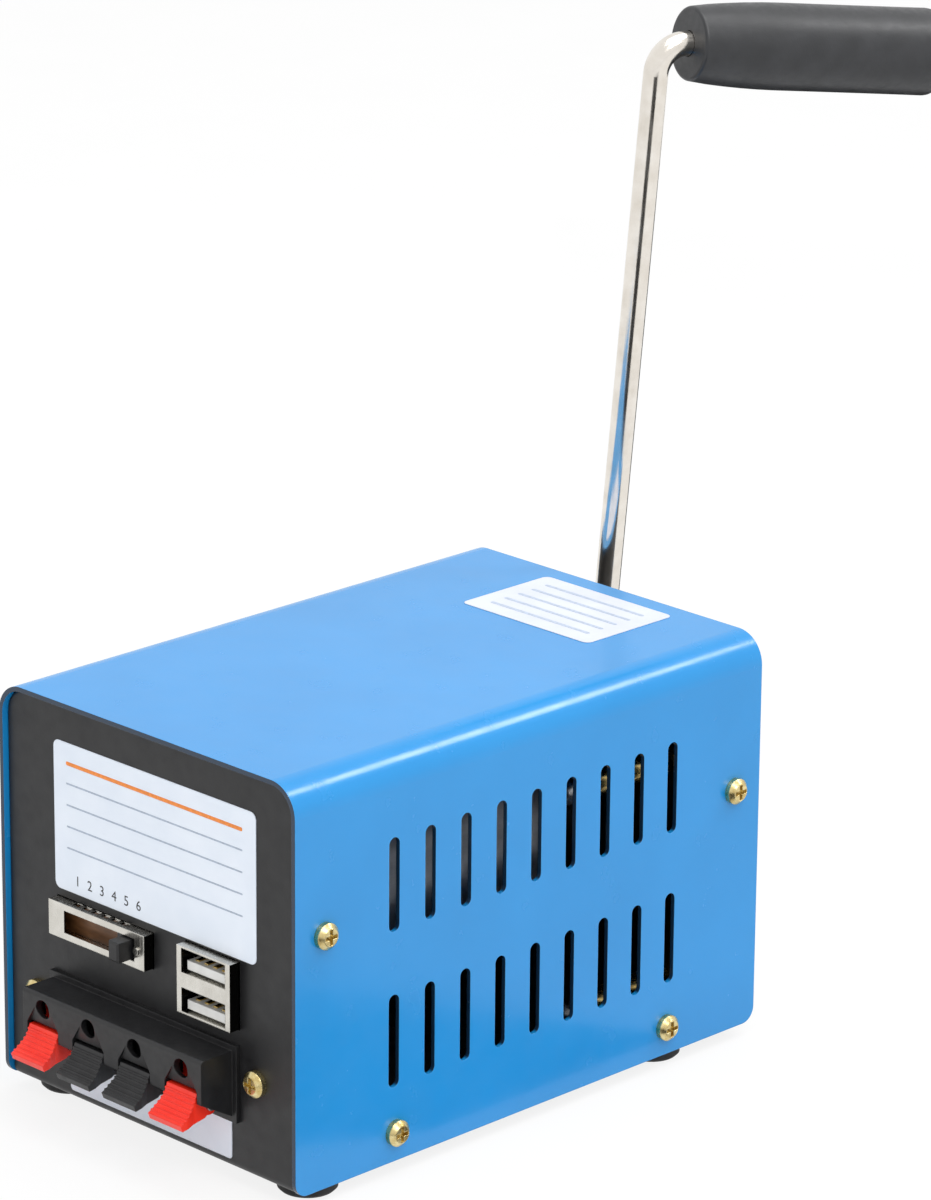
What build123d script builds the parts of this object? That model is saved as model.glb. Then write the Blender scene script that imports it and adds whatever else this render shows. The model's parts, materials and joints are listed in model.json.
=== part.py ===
from build123d import *
import os
from math import acos, cos, pi, radians, sin, tan

# Hand crank generator: a folded steel case with a geared motor, a board with its
# outputs on the front panel, and a bent rod crank behind the rear panel.
# Millimetres. X runs across the front panel, Y from front to rear, Z is up.
# The origin is the middle of the base plate's underside.

# ---------------------------------------------------------------- case
case_width = 85.6
case_depth = 130.0
case_height = 84.2
sheet = 1.0                     # steel sheet of the cover and the chassis
cover_corner = 6.5              # outer bend radius of the cover's top corners
cover_foot_corner = 3.2         # rounding of the cover's lower corners
panel_recess = 1.2              # both panels sit this far inside the cover's ends
panel_edge_round = 0.6
fold_radius = 0.8               # inner radius where the base turns up into the panels

vent_width = 2.8
vent_height = 19.4
vent_pitch = 9.72
vent_count = 9
vent_upper_z = 57.9
vent_lower_z = 25.4

panel_flange_depth = 13.0       # side flanges that the panels turn back
panel_flange_low_z = 14.0
panel_flange_top_gap = 10.0
top_flange_length = 65.0
top_flange_depth = 10.0
base_flange_height = 10.5
base_flange_length = 96.0

# ---------------------------------------------------------------- fasteners and feet
screw_diameter = 3.0
screw_length = 5.0
short_screw_length = 4.0
screw_head_diameter = 5.4
screw_head_height = 2.0
screw_crown = 0.9               # how much of the head's height is its rounded crown
recess_width = 0.8
recess_length = 3.2
recess_depth = 1.0
hole_clearance = 0.1            # between a screw's shank and its hole, on radius
nut_across = 5.5
nut_height = 2.4

end_screw_inset = 7.6           # cover screws in the panels' flanges, from the case's ends
end_screw_z = 52.6
base_screw_y = 38.3             # cover screws in the base's flanges
base_screw_z = 6.1

foot_diameter = 12.0
foot_height = 3.0
foot_edge = 0.6
foot_pocket_diameter = 7.0
foot_seat = 0.8                 # rubber left between the base and the screw's head
foot_side_inset = 7.8
foot_front_inset = 10.5
foot_rear_inset = 22.6

# ---------------------------------------------------------------- gear train
shaft_x = -16.0
shaft_z = 44.0
gear_module = 0.8
pressure_angle = 20.0
crank_teeth = 52
lay_pinion_teeth = 13
lay_teeth = 44
motor_pinion_teeth = 11
gear_backlash = 0.12
wheel_addendum = 0.46
pinion_addendum = 0.8
tooth_root_gap = 0.2
gear_width = 8.0
pinion_overhang = 0.8           # a pinion is this much longer than its wheel, each end
web_thickness = 3.0
rim_depth = 3.0                 # from the teeth's roots to the web's edge
hub_diameter = 15.0
lay_hub_diameter = 9.0
web_hole_diameter = 7.0
web_hole_count = 6
gear_plane_gap = 4.0
gear_plate_gap = 3.0            # between a gearbox plate and the nearest gear
lay_angle = -33.5               # from the crank shaft to the lay shaft, above X
motor_angle = 67.7              # from the lay shaft to the motor, above X

crank_shaft_diameter = 8.0
lay_shaft_diameter = 5.0
bush_wall = 1.5
bush_flange = 1.5
bush_flange_thickness = 1.0
running_clearance = 0.05        # on radius, of a shaft in its bush
shaft_overhang = 2.0            # of a shaft, past a gearbox plate
rear_bush_diameter = 12.0
rear_bush_flange_diameter = 16.0
rear_bush_flange_thickness = 1.4
rear_bush_tail = 1.5

plate_thickness = 1.6
plate_width = 80.0
plate_top_z = 74.0
plate_corner = 3.0
plate_foot_depth = 10.0
plate_screw_x = 27.0
pillar_diameter = 6.0
pillar_x = 35.6
pillar_low_z = 13.0
pillar_high_z = 61.0
gearbox_rear_space = 17.0       # from the gearbox's rear plate to the rear panel

# ---------------------------------------------------------------- motor
motor_diameter = 42.0
motor_can_length = 52.0
motor_can_wall = 1.2
motor_can_round = 1.5
motor_shaft_diameter = 5.0
motor_boss_diameter = 17.0
motor_boss_height = 3.0
motor_cap_thickness = 5.0
motor_cap_collar = 5.0          # depth of the cap's collar inside the can
motor_cap_bore = 30.0
motor_screw_circle = 29.0
motor_bush_diameter = 9.0
magnet_thickness = 5.5
magnet_length = 38.0
magnet_gap = 18.0               # between the two magnets' ends
magnet_front_gap = 3.0
armature_gap = 0.5
armature_length = 34.0
armature_pole_count = 5
armature_slot_width = 3.0
armature_slot_depth = 6.0
winding_diameter = 22.0
winding_length = 3.0
commutator_diameter = 10.0
commutator_length = 5.0
commutator_slot = 0.6
commutator_wall = 1.2
brush_width = 4.0
brush_gap = 0.3
motor_tab_offset = 12.0
motor_tab_width = 4.0
motor_tab_length = 4.0
motor_tab_thickness = 0.8

# ---------------------------------------------------------------- crank
rod_diameter = 5.2
arm_length = 154.5
crank_lean = 5.7                # the arm stands this far from upright, towards +X
arm_offset = 13.4               # from the rear panel's face to the arm's centre line
rod_bend = 6.0                  # centre line radius of the rod's two bends
grip_turn = 19.0                # the grip's axis turns this far from the shaft's
grip_drop = 5.3                 # and drops this far
rod_socket_depth = 13.0
socket_clearance = 0.05
collar_diameter = 13.0
collar_length = 5.5
collar_edge = 0.5
set_screw_diameter = 3.0
set_screw_socket = 1.5
end_play = 0.3                  # axial play of the pieces that turn

grip_start = 6.9                # from the rod's upper corner to the grip's near face
grip_length = 58.0
grip_near_diameter = 15.4
grip_mid_diameter = 18.0
grip_mid_at = 22.0
grip_far_diameter = 18.2
grip_near_round = 0.7
grip_far_round = 4.0
grip_clearance = 0.08
grip_pocket_diameter = 10.0
grip_pocket_depth = 11.0
grip_cap_thickness = 4.0
clip_diameter = 8.6
clip_thickness = 0.8
rod_past_clip = 1.5

# ---------------------------------------------------------------- terminal block
block_x = -1.5
block_width = 52.4
block_top_z = 25.4
block_low_z = 11.7
block_front_low_z = 16.3        # the underside rises to here at the block's front
block_reach = 9.1               # how far the block stands out of the panel
block_tail = 6.8                # how far it reaches behind the panel
block_edge = 0.8
block_flange = 1.2
block_flange_thickness = 1.0
block_wall = 1.5
front_wall_low_z = 18.7         # lower edge of the front wall, above the levers
terminal_count = 4
terminal_pitch = 13.56
wire_hole_diameter = 4.0
wire_hole_z = 22.3
wire_ramp_top = 4.6
wire_ramp_bottom = 9.2
wire_ramp_depth = 0.9
fit_gap = 0.2                   # of what fits through the front panel
lug_width = 6.0
lug_depth = 1.2
lug_height = 0.7
lug_spread = 15.0

lever_width = 8.6
lever_side_gap = 0.35
lever_pivot_back = 3.7          # from the block's front to the levers' pivot
lever_pivot_z = 14.9
lever_pin_diameter = 2.0
lever_eye_radius = 2.0
lever_top_back = 0.3            # the thumb ramp's top edge, behind the block's front
lever_top_z = 18.2
lever_heel_back = 2.4           # the underside's rear end, behind the block's front
lever_heel_z = 12.6
lip_reach = 4.3                 # the lever's lip, before the block's front
lip_z = 12.9
lip_thickness = 1.3
lip_setback = 0.5
lip_width = 9.5
lip_flare_start = 0.5
lip_flare_length = 1.8
thumb_hollow = 0.9              # how far the thumb ramp curves in
thumb_rib_count = 6
thumb_rib_diameter = 0.5
tongue_offset = 0.8             # the lever's upright tongue, behind the pivot
tongue_wall = 1.4
tongue_top_z = 23.2
spring_gap = 0.4
spring_thickness = 0.4
spring_width = 5.0
spring_top_z = 22.4
spring_tail = 2.0

panel_screw_offset = 32.2       # of the panel's screws, from the block's middle
panel_screw_z = 20.2
bracket_margin = 2.4
bracket_thickness = 1.0
bracket_side = 9.5

# ---------------------------------------------------------------- slide switch
switch_x = -13.0
switch_z = 39.0
switch_width = 28.3
switch_height = 7.4
switch_reach = 2.5
switch_depth = 4.6
switch_wall = 0.4
window_left = 4.6               # from the can's left end to its window
window_length = 20.8
knob_x = -3.9
knob_width = 3.0
knob_height = 4.1
knob_gap = 0.3
knob_reach = 3.7
knob_edge = 0.4
carriage_width = 7.0
carriage_thickness = 2.0
carriage_height = 5.8
switch_base_thickness = 1.6
switch_positions = 6
detent_length = 1.7
detent_width = 1.2
detent_pitch = 2.8
detent_first = 6.8              # from the can's left end to the first slot's middle
detent_back = 1.8               # from the can's face to the slots' middle
rivet_diameter = 1.6
rivet_height = 0.4
rivet_inset = 2.1
switch_pin_width = 0.8
switch_pin_pitch = 3.6
switch_pin_reach = 1.6

# ---------------------------------------------------------------- USB socket pair
usb_x = 18.2
usb_z = 36.9
usb_width = 15.2
usb_height = 14.0
usb_reach = 2.5
usb_depth = 17.0
usb_wall = 0.4
port_width = 12.5
port_height = 5.0
port_pitch = 8.2
port_depth = 12.5
port_tongue_width = 11.1
port_tongue_thickness = 1.9
port_tongue_back = 1.0
port_tongue_lift = 0.5
port_contact_count = 4
port_contact_pitch = 2.5
port_contact_width = 1.1
port_contact_thickness = 0.25

# ---------------------------------------------------------------- circuit board
board_width = 78.0
board_gap_front = 1.2           # from the front panel's inner face
board_depth = 38.0
board_strip_depth = 15.0        # beside the motor the board is only this deep
board_split_x = -9.0
board_thickness = 1.6
standoff_diameter = 5.0
standoff_shank = 3.8
standoff_x = 36.5
standoff_front_inset = 12.4
standoff_rear_inset = 3.0
standoff_inner_x = -12.0

capacitor_diameter = 10.0
capacitor_height = 16.0
capacitor_edge = 0.8
capacitor_x = -33.5
capacitor_y = -37.0
capacitor_pitch = 10.5
inductor_diameter = 15.0
inductor_bore = 6.5
inductor_height = 8.0
inductor_round = 1.5
inductor_x = -24.0
inductor_y = -51.3
sink_x = -12.0
sink_y = -39.0
sink_width = 14.0
sink_height = 20.0
sink_plate = 1.5
sink_fin_count = 5
sink_fin_thickness = 1.2
sink_fin_depth = 3.0
regulator_thickness = 3.2
regulator_width = 10.0
regulator_height = 15.0
regulator_lift = 3.0
chip_width = 6.0
chip_depth = 5.0
chip_height = 1.6
chip_y = -56.5
chip_left_x = -3.0
chip_right_x = 33.0
lead_diameter = 1.8
lead_bend = 2.5
lead_reach = 6.6                # of the motor's leads, from the tabs towards the front
lead_spread = 5.0

# ---------------------------------------------------------------- places worked out
half_in = case_width / 2 - sheet
front_y = -case_depth / 2 + panel_recess
front_in = front_y + sheet
rear_y = case_depth / 2 - panel_recess
rear_in = rear_y - sheet
panel_top = case_height - sheet

rear_plate_y = rear_in - gearbox_rear_space - plate_thickness
gear_space = 2 * gear_width + gear_plane_gap + 2 * gear_plate_gap
front_plate_y = rear_plate_y - gear_space - plate_thickness
gearbox_in_y = front_plate_y + plate_thickness
lay_plane_y = gearbox_in_y + gear_plate_gap
crank_plane_y = lay_plane_y + gear_width + gear_plane_gap
crank_distance = gear_module * (crank_teeth + lay_pinion_teeth) / 2
motor_distance = gear_module * (lay_teeth + motor_pinion_teeth) / 2
lay_x = shaft_x + crank_distance * cos(radians(lay_angle))
lay_z = shaft_z + crank_distance * sin(radians(lay_angle))
motor_x = lay_x + motor_distance * cos(radians(motor_angle))
motor_z = lay_z + motor_distance * sin(radians(motor_angle))
wheel_root = pinion_addendum + tooth_root_gap
pinion_root = wheel_addendum + tooth_root_gap
hub_front_y = gearbox_in_y + bush_flange_thickness + end_play
hub_rear_y = rear_plate_y - bush_flange_thickness - end_play

motor_back_y = front_plate_y - motor_can_length
motor_end_y = motor_back_y - motor_cap_thickness
can_bore = motor_diameter - 2 * motor_can_wall
magnet_front_y = front_plate_y - motor_can_wall - magnet_front_gap
magnet_back_y = magnet_front_y - magnet_length
armature_front_y = magnet_front_y - (magnet_length - armature_length) / 2
armature_back_y = armature_front_y - armature_length
commutator_front_y = armature_back_y - winding_length
commutator_back_y = commutator_front_y - commutator_length

rear_flange_y = rear_y + rear_bush_flange_thickness
collar_y = rear_flange_y + end_play
shaft_end_y = collar_y + collar_length
arm_y = rear_y + arm_offset
crank_place = Pos(shaft_x, 0, shaft_z) * Rot(0, crank_lean, 0)
grip_axis = (
    sin(radians(grip_turn)) * cos(radians(grip_drop)),
    cos(radians(grip_turn)) * cos(radians(grip_drop)),
    -sin(radians(grip_drop)),
)
grip_place = crank_place * Plane(origin=(0, arm_y, arm_length), z_dir=grip_axis).location
clip_from = grip_start + grip_length - grip_pocket_depth + end_play
rod_end = clip_from + clip_thickness + rod_past_clip

block_front_y = front_y - block_reach
block_back_y = front_in + block_tail
block_left = block_x - block_width / 2
block_right = block_x + block_width / 2
bracket_back_y = front_in + bracket_thickness
flange_front_y = front_y - block_flange_thickness
cell_half_width = lever_width / 2 + lever_side_gap
pivot_y = block_front_y + lever_pivot_back
tongue_front_y = pivot_y + tongue_offset
tongue_back_y = tongue_front_y + tongue_wall
spring_y = tongue_back_y + spring_gap
floor_z = block_low_z + block_wall
pin_hole = lever_pin_diameter + 2 * running_clearance

switch_face_y = front_y - switch_reach
switch_back_y = switch_face_y + switch_depth
switch_left = switch_x - switch_width / 2
window_height = knob_height + 2 * knob_gap
window_x = switch_left + window_left + window_length / 2
carriage_front_y = switch_face_y + switch_wall + knob_gap
switch_base_y = switch_back_y - switch_base_thickness
usb_face_y = front_y - usb_reach
usb_back_y = usb_face_y + usb_depth
port_back_y = usb_face_y + port_depth
port_heights = [usb_z - port_pitch / 2, usb_z + port_pitch / 2]

board_front_y = front_in + board_gap_front
board_back_y = board_front_y + board_depth
strip_back_y = board_front_y + board_strip_depth
board_top_z = usb_z - usb_height / 2
board_low_z = board_top_z - board_thickness

foot_places = [
    (side * (case_width / 2 - foot_side_inset), y)
    for side in (-1, 1)
    for y in (-case_depth / 2 + foot_front_inset, case_depth / 2 - foot_rear_inset)
]
pillar_places = [
    (side * pillar_x, z) for side in (-1, 1) for z in (pillar_low_z, pillar_high_z)
]
plate_foot_places = [
    (side * plate_screw_x, y)
    for side in (-1, 1)
    for y in (
        front_plate_y - plate_foot_depth / 2,
        rear_plate_y + plate_thickness + plate_foot_depth / 2,
    )
]
standoff_places = [
    (-standoff_x, board_front_y + standoff_front_inset),
    (standoff_x, board_front_y + standoff_front_inset),
    (-standoff_x, board_back_y - standoff_rear_inset),
    (standoff_inner_x, board_back_y - standoff_rear_inset),
]
terminal_places = [
    block_x + (index - (terminal_count - 1) / 2) * terminal_pitch
    for index in range(terminal_count)
]
motor_screw_places = [motor_x - motor_screw_circle / 2, motor_x + motor_screw_circle / 2]


# ---------------------------------------------------------------- simple forms
def slab(x0, x1, y0, y1, z0, z1):
    """A block between two corners."""
    middle = Pos((x0 + x1) / 2, (y0 + y1) / 2, (z0 + z1) / 2)
    return middle * Box(x1 - x0, y1 - y0, z1 - z0)


def panel_slab(x, z, width, height, y0, y1):
    """A block from y0 to y1 round a point of the front panel."""
    return slab(x - width / 2, x + width / 2, y0, y1, z - height / 2, z + height / 2)


def bar_x(y, z, x0, x1, diameter):
    """A round bar along X."""
    return Pos((x0 + x1) / 2, y, z) * Rot(0, 90, 0) * Cylinder(diameter / 2, x1 - x0)


def bar_y(x, z, y0, y1, diameter):
    """A round bar along Y."""
    return Pos(x, (y0 + y1) / 2, z) * Rot(90, 0, 0) * Cylinder(diameter / 2, y1 - y0)


def bar_z(x, y, z0, z1, diameter):
    """An upright round bar."""
    return Pos(x, y, (z0 + z1) / 2) * Cylinder(diameter / 2, z1 - z0)


def ring_y(x, z, y0, y1, outer, inner):
    """A plain ring along Y."""
    return bar_y(x, z, y0, y1, outer) - bar_y(x, z, y0, y1, inner)


def prism_x(face, x0, x1):
    """A face drawn in Y and Z, extruded from x0 to x1."""
    plane = Plane(origin=(x0, 0, 0), x_dir=(0, 1, 0), z_dir=(1, 0, 0))
    return extrude(plane * face, x1 - x0)


def prism_y(face, y0, y1):
    """A face drawn in X and Z, extruded from y0 to y1."""
    plane = Plane(origin=(0, y0, 0), x_dir=(1, 0, 0), z_dir=(0, -1, 0))
    return extrude(plane * face, -(y1 - y0))


def rectangle(u0, u1, v0, v1):
    """A rectangular face between two corners."""
    return Pos((u0 + u1) / 2, (v0 + v1) / 2) * Rectangle(u1 - u0, v1 - v0)


def rounded_top(half_width, low, high, radius):
    """A rectangle with its two upper corners rounded."""
    face = rectangle(-half_width, half_width, low, high)
    return fillet(face.vertices().group_by(Axis.Y)[-1], radius)


def round_wire(points, diameter, bend):
    """A round wire along straight runs joined by bends."""
    path = FilletPolyline(*points, radius=bend)
    return sweep(Plane(origin=path @ 0, z_dir=path % 0) * Circle(diameter / 2), path=path)


def both_sides(solid):
    """A solid and its mirror image across the case's middle."""
    return [solid, mirror(solid, about=Plane.YZ)]


def save(name, *pieces):
    """Write one node's file; its separate pieces stay separate solids."""
    solids = [solid for piece in pieces for solid in piece.solids()]
    shape = solids[0] if len(solids) == 1 else Compound(children=solids)
    export_step(shape, f"parts/{name}.step")


# ---------------------------------------------------------------- fasteners
def pan_screw(length):
    """A pan head screw with a cross recess, its head standing on z = 0."""
    head = bar_z(0, 0, 0, screw_head_height, screw_head_diameter)
    head = chamfer(head.edges().group_by(Axis.Z)[-1], screw_crown)
    slot = slab(
        -recess_length / 2, recess_length / 2, -recess_width / 2, recess_width / 2,
        screw_head_height - recess_depth, screw_head_height,
    )
    return head - slot - Rot(0, 0, 90) * slot + bar_z(0, 0, -length, 0, screw_diameter)


def screw_hole(depth):
    """The plain hole of a screw, this far below and above its seat."""
    return bar_z(0, 0, -depth, depth, screw_diameter + 2 * hole_clearance)


def hex_nut():
    """A nut with its seat at z = 0, reaching down from it."""
    body = extrude(RegularPolygon(nut_across / 2, 6, major_radius=False), -nut_height)
    return body - screw_hole(2 * nut_height)


def cover_screw_seats():
    """Seats of the cover's screws, four on each side."""
    end_y = case_depth / 2 - end_screw_inset
    spots = [(side * end_y, end_screw_z) for side in (-1, 1)]
    spots += [(side * base_screw_y, base_screw_z) for side in (-1, 1)]
    return [
        Pos(side * case_width / 2, y, z) * Rot(0, side * 90, 0)
        for side in (-1, 1)
        for y, z in spots
    ]


def panel_screw_seats(y):
    """Seats on the front panel for its two screws, facing forwards."""
    return [
        Pos(block_x + side * panel_screw_offset, y, panel_screw_z) * Rot(90, 0, 0)
        for side in (-1, 1)
    ]


def foot_screw_seats():
    """Seats of the feet's screws, facing down."""
    return [Pos(x, y, -foot_seat) * Rot(180, 0, 0) for x, y in foot_places]


def plate_screw_seats():
    """Seats of the screws that hold the gearbox's feet to the base."""
    return [Pos(x, y, sheet + plate_thickness) for x, y in plate_foot_places]


def board_screw_seats():
    """Seats of the circuit board's screws."""
    return [Pos(x, y, board_top_z) for x, y in standoff_places]


def pillar_screw_seats():
    """Seats of the pillars' screws on the outer faces of both gearbox plates."""
    front = [Pos(x, front_plate_y, z) * Rot(90, 0, 0) for x, z in pillar_places]
    rear_face = rear_plate_y + plate_thickness
    rear = [Pos(x, rear_face, z) * Rot(-90, 0, 0) for x, z in pillar_places]
    return front + rear


def motor_screw_seats():
    """Seats of the motor's screws, inside the gearbox."""
    return [Pos(x, gearbox_in_y, motor_z) * Rot(-90, 0, 0) for x in motor_screw_places]


def screws(seats, length):
    """One screw on every seat."""
    return [seat * pan_screw(length) for seat in seats]


# ---------------------------------------------------------------- case
def top_cover():
    """The inverted-U cover, with its vents and screw holes."""
    outer = rounded_top(case_width / 2, 0, case_height, cover_corner)
    inner = rounded_top(half_in, -sheet, panel_top, cover_corner - sheet)
    shell = prism_y(outer - inner, -case_depth / 2, case_depth / 2)
    low_edges = shell.edges().filter_by(Axis.X).group_by(Axis.Z)[0]
    shell = fillet(low_edges, cover_foot_corner)
    return shell - vents() - [seat * screw_hole(2 * sheet) for seat in cover_screw_seats()]


def vents():
    """Two rows of upright round-ended slots, right through both sides."""
    slot = SlotOverall(vent_height, vent_width, rotation=90)
    return [
        prism_x(Pos((index - (vent_count - 1) / 2) * vent_pitch, z) * slot, -case_width, case_width)
        for index in range(vent_count)
        for z in (vent_lower_z, vent_upper_z)
    ]


def chassis():
    """Front panel, base and rear panel folded from one sheet, with their flanges."""
    outer = rectangle(front_y, rear_y, 0, panel_top)
    outer = fillet(outer.vertices().group_by(Axis.Y)[0], fold_radius + sheet)
    inner = rectangle(front_in, rear_in, sheet, panel_top + sheet)
    inner = fillet(inner.vertices().group_by(Axis.Y)[0], fold_radius)
    outline = rounded_top(half_in, 0, panel_top, cover_corner - sheet)
    body = prism_x(outer - inner, -half_in, half_in) & prism_y(outline, front_y, rear_y)
    body = body + chassis_flanges()
    body = fillet(panel_rims(body), panel_edge_round)
    holes = [seat * screw_hole(3 * sheet) for seat in cover_screw_seats()]
    holes += [seat * screw_hole(2 * sheet) for seat in panel_screw_seats(front_y)]
    holes += [seat * screw_hole(3 * sheet) for seat in foot_screw_seats()]
    holes += [seat * screw_hole(2 * plate_thickness + sheet) for seat in plate_screw_seats()]
    holes += [bar_z(x, y, -sheet, 2 * sheet, standoff_shank) for x, y in standoff_places]
    holes += [bar_y(shaft_x, shaft_z, rear_in - sheet, rear_y + sheet, rear_bush_diameter)]
    return body - holes - panel_openings()


def chassis_flanges():
    """The narrow flanges that stiffen the panels and the base."""
    side_high = panel_top - panel_flange_top_gap
    bend = sheet / 2
    sides = [
        slab(half_in - sheet, half_in, front_y + bend, front_y + panel_flange_depth,
             panel_flange_low_z, side_high),
        slab(half_in - sheet, half_in, rear_y - panel_flange_depth, rear_y - bend,
             panel_flange_low_z, side_high),
        slab(half_in - sheet, half_in, -base_flange_length / 2, base_flange_length / 2,
             bend, base_flange_height),
    ]
    half_length = top_flange_length / 2
    tops = [
        slab(-half_length, half_length, front_y + bend, front_y + top_flange_depth,
             panel_top - sheet, panel_top),
        slab(-half_length, half_length, rear_y - top_flange_depth, rear_y - bend,
             panel_top - sheet, panel_top),
    ]
    return [piece for side in sides for piece in both_sides(side)] + tops


def panel_rims(body):
    """The outer edges of both panels, above the base's fold."""
    return [
        edge
        for edge in body.edges()
        if abs(abs(edge.center().Y) - rear_y) < panel_edge_round / 10
        and edge.center().Z > fold_radius + 2 * sheet
    ]


def panel_openings():
    """What the terminal block, the switch and the socket pass through."""
    low, high = front_y - sheet, front_in + sheet
    gap = 2 * fit_gap
    block_height = block_top_z - block_low_z
    block_z = (block_top_z + block_low_z) / 2
    return [
        panel_slab(block_x, block_z, block_width + gap, block_height + gap, low, high),
        panel_slab(switch_x, switch_z, switch_width + gap, switch_height + gap, low, high),
        panel_slab(usb_x, usb_z, usb_width + gap, usb_height + gap, low, high),
    ]


def rubber_foot(x, y):
    """A round pad with a pocket for its screw's head."""
    pad = bar_z(x, y, -foot_height, 0, foot_diameter)
    pad = chamfer(pad.edges().group_by(Axis.Z)[0], foot_edge)
    pocket = bar_z(x, y, -foot_height, -foot_seat, foot_pocket_diameter)
    return pad - pocket - Pos(x, y, 0) * screw_hole(foot_height)


# ---------------------------------------------------------------- gear train
def involute(angle):
    return tan(angle) - angle


def tooth_half_angle(radius, pitch_radius):
    """Half the angle that a tooth takes up at a radius, in radians."""
    pressure = radians(pressure_angle)
    base_radius = pitch_radius * cos(pressure)
    slope = acos(min(1.0, base_radius / radius))
    at_pitch = (pi * gear_module - gear_backlash) / 4 / pitch_radius
    return at_pitch + involute(pressure) - involute(slope)


def gear_face(teeth, addendum, root_depth, toward):
    """A toothed disc about the origin with one tooth in the direction toward, in degrees."""
    pitch_radius = gear_module * teeth / 2
    radii = [pitch_radius - root_depth, pitch_radius, pitch_radius + addendum]
    flank = [(radius, tooth_half_angle(radius, pitch_radius)) for radius in radii]
    points = []
    for index in range(teeth):
        middle = radians(toward) + 2 * pi * index / teeth
        sides = [(r, middle - half) for r, half in flank]
        sides += [(r, middle + half) for r, half in reversed(flank)]
        points += [(r * cos(angle), r * sin(angle)) for r, angle in sides]
    return Polygon(*points, align=None)


def wheel(x, z, teeth, y, toward, hub, bore, hub_y0, hub_y1):
    """A large gear with a rim, a thin holed web and a hub."""
    body = prism_y(Pos(x, z) * gear_face(teeth, wheel_addendum, wheel_root, toward), y, y + gear_width)
    web_diameter = gear_module * teeth - 2 * (wheel_root + rim_depth)
    web_y = y + (gear_width - web_thickness) / 2
    body = body - bar_y(x, z, y, web_y, web_diameter)
    body = body - bar_y(x, z, web_y + web_thickness, y + gear_width, web_diameter)
    circle = (web_diameter + hub) / 4
    holes = [
        bar_y(x + circle * cos(angle), z + circle * sin(angle), y, y + gear_width,
              web_hole_diameter)
        for angle in (2 * pi * index / web_hole_count for index in range(web_hole_count))
    ]
    body = body - holes + bar_y(x, z, hub_y0, hub_y1, hub)
    return body - bar_y(x, z, hub_y0, hub_y1, bore)


def pinion(x, z, teeth, y, toward, bore):
    """A small gear with half a tooth's turn against the wheel that it meets."""
    half_step = 180 / teeth
    face = gear_face(teeth, pinion_addendum, pinion_root, toward + half_step)
    low, high = y - pinion_overhang, y + gear_width + pinion_overhang
    return prism_y(Pos(x, z) * face, low, high) - bar_y(x, z, low, high, bore)


def shaft_bore(diameter):
    """Bore of a bush for this shaft."""
    return diameter + 2 * running_clearance


def plate_bush(x, z, shaft, plate_y, side):
    """A flanged bush in a gearbox plate, its flange on the inner face."""
    bore = shaft_bore(shaft)
    outer = bore + 2 * bush_wall
    inner_y = plate_y + plate_thickness if side > 0 else plate_y
    flange_y = inner_y + side * bush_flange_thickness
    flange = ring_y(x, z, min(inner_y, flange_y), max(inner_y, flange_y),
                    outer + 2 * bush_flange, bore)
    return flange + ring_y(x, z, plate_y, plate_y + plate_thickness, outer, bore)


def plate_bushes(x, z, shaft):
    """The two bushes of a shaft that runs between the plates."""
    return [
        plate_bush(x, z, shaft, front_plate_y, 1),
        plate_bush(x, z, shaft, rear_plate_y, -1),
    ]


def gearbox_plate(y, foot_y0, foot_y1):
    """A plate across the case, folded at the bottom into a foot."""
    outline = rounded_top(plate_width / 2, sheet, plate_top_z, plate_corner)
    plate = prism_y(outline, y, y + plate_thickness)
    foot = slab(-plate_width / 2, plate_width / 2, foot_y0, foot_y1, sheet, sheet + plate_thickness)
    holes = [
        bar_y(x, z, y, y + plate_thickness, shaft_bore(shaft) + 2 * bush_wall)
        for x, z, shaft in (
            (shaft_x, shaft_z, crank_shaft_diameter),
            (lay_x, lay_z, lay_shaft_diameter),
        )
    ]
    holes += [seat * screw_hole(2 * plate_thickness) for seat in pillar_screw_seats()]
    holes += [seat * screw_hole(2 * plate_thickness) for seat in plate_screw_seats()]
    return plate + foot - holes


def gearbox_front_plate():
    """The plate that carries the motor."""
    plate = gearbox_plate(front_plate_y, front_plate_y - plate_foot_depth, front_plate_y)
    motor_hole = motor_boss_diameter + 2 * hole_clearance
    cuts = [bar_y(motor_x, motor_z, front_plate_y, gearbox_in_y, motor_hole)]
    cuts += [seat * screw_hole(2 * plate_thickness) for seat in motor_screw_seats()]
    return plate - cuts


def gearbox_rear_plate():
    """The plate next to the rear panel."""
    face = rear_plate_y + plate_thickness
    return gearbox_plate(rear_plate_y, face, face + plate_foot_depth)


def pillar(x, z):
    """A round pillar between the plates, bored for a screw at each end."""
    bore = screw_diameter + 2 * hole_clearance
    body = bar_y(x, z, gearbox_in_y, rear_plate_y, pillar_diameter)
    depth = screw_length
    return (
        body
        - bar_y(x, z, gearbox_in_y, gearbox_in_y + depth, bore)
        - bar_y(x, z, rear_plate_y - depth, rear_plate_y, bore)
    )


def crank_shaft():
    """The thick shaft through the case, with a socket for the rod at its rear end."""
    body = bar_y(shaft_x, shaft_z, front_plate_y - shaft_overhang, shaft_end_y, crank_shaft_diameter)
    socket = rod_diameter + 2 * socket_clearance
    return body - bar_y(shaft_x, shaft_z, shaft_end_y - rod_socket_depth, shaft_end_y, socket)


def crank_gear():
    return wheel(shaft_x, shaft_z, crank_teeth, crank_plane_y, lay_angle, hub_diameter,
                 crank_shaft_diameter, crank_plane_y, hub_rear_y)


def lay_gear():
    return wheel(lay_x, lay_z, lay_teeth, lay_plane_y, motor_angle, lay_hub_diameter,
                 lay_shaft_diameter, hub_front_y, lay_plane_y + gear_width)


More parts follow.
